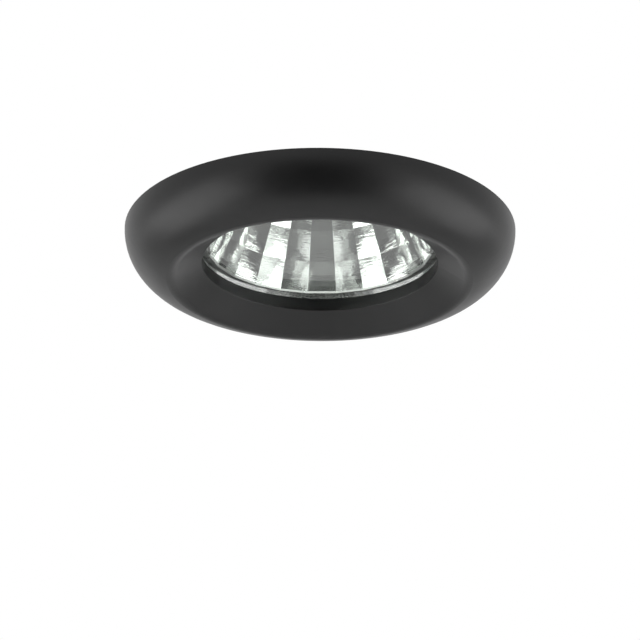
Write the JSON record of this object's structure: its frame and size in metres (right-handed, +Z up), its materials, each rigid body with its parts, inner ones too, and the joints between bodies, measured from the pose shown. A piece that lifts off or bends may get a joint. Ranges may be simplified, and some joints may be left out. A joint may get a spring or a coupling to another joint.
{
  "type": "soffit downlight",
  "caption": "Round fixed recessed downlight: thick black doughnut bezel, faceted reflector lamp loaded from behind, twist-on lamp holder, and sprung arms that clamp it in a soffit board.",
  "frame": {"origin": "centre of the plane in which the bezel's back meets the lower side of the soffit board", "axes": "+Z up into the void along the lamp's axis, X through the sprung arms, +Y towards the terminal block"},
  "size_m": [0.124, 0.082, 0.0872],
  "materials": {
    "bezel_black": "satin powder coat",
    "gasket_foam": "closed-cell foam",
    "spring_wire": "drawn spring wire",
    "spring_sheet": "rolled spring sheet",
    "mirror_facets": "vacuum-coated pressed glass",
    "lamp_glass": "clear",
    "tungsten": "drawn wire",
    "lamp_ceramic": "unglazed",
    "holder_ceramic": "unglazed",
    "nickel": "nickel plate",
    "brass": "bare",
    "lead_brown": "sleeved",
    "lead_blue": "sleeved",
    "zinc_sheet": "zinc plate",
    "zinc_screws": "zinc plate",
    "block_plastic": "moulded",
    "clamp_plastic": "moulded",
    "pad_rubber": "soft sleeve"
  },
  "bodies": {
    "fitting": {"trim_ring": "bezel_black", "soffit_gasket": "gasket_foam", "retaining_ring": "spring_wire", "lamp_reflector": "mirror_facets", "lamp_cover_glass": "lamp_glass", "lamp_capsule": "lamp_glass", "lamp_filament": "tungsten", "lamp_base": "lamp_ceramic", "lamp_pins": "nickel", "lead_live": "lead_brown", "lead_neutral": "lead_blue", "terminal_bracket": "zinc_sheet", "terminal_bracket_screws": "zinc_screws", "terminal_block": "block_plastic", "terminal_tubes": "brass", "terminal_screws": "zinc_screws", "block_screw": "zinc_screws", "cord_clamp": "clamp_plastic", "cord_clamp_screws": "zinc_screws", "clip_bracket_left": "zinc_sheet", "clip_bracket_screws_left": "zinc_screws", "clip_pin_left": "nickel", "clip_spring_left": "spring_wire", "clip_bracket_right": "zinc_sheet", "clip_bracket_screws_right": "zinc_screws", "clip_pin_right": "nickel", "clip_spring_right": "spring_wire"},
    "holder": {"holder_body": "holder_ceramic", "holder_cover": "holder_ceramic", "holder_rivets": "nickel", "holder_contacts": "brass"},
    "arm_left": {"clip_arm_left": "spring_sheet", "clip_pad_left": "pad_rubber"},
    "arm_right": {"clip_arm_right": "spring_sheet", "clip_pad_right": "pad_rubber"}
  },
  "joints": [
    {"name": "holder_twist", "type": "hinge", "parent": "fitting", "child": "holder", "pos_m": [0, 0, 0.05], "axis": [0, 0, 1], "range_deg": [0, 15], "deforming": ["lead_live", "lead_neutral"]},
    {"name": "clip_left_hinge", "type": "hinge", "parent": "fitting", "child": "arm_left", "pos_m": [-0.03155, 0, 0.014], "axis": [0, 1, 0], "range_deg": [0, 110], "stiffness_Nm_per_rad": 0.12, "springref_deg": -40.11, "deforming": ["clip_spring_left"]},
    {"name": "clip_right_hinge", "type": "hinge", "parent": "fitting", "child": "arm_right", "pos_m": [0.03155, 0, 0.014], "axis": [0, -1, 0], "range_deg": [0, 110], "stiffness_Nm_per_rad": 0.12, "springref_deg": -40.11, "deforming": ["clip_spring_right"]}
  ]
}
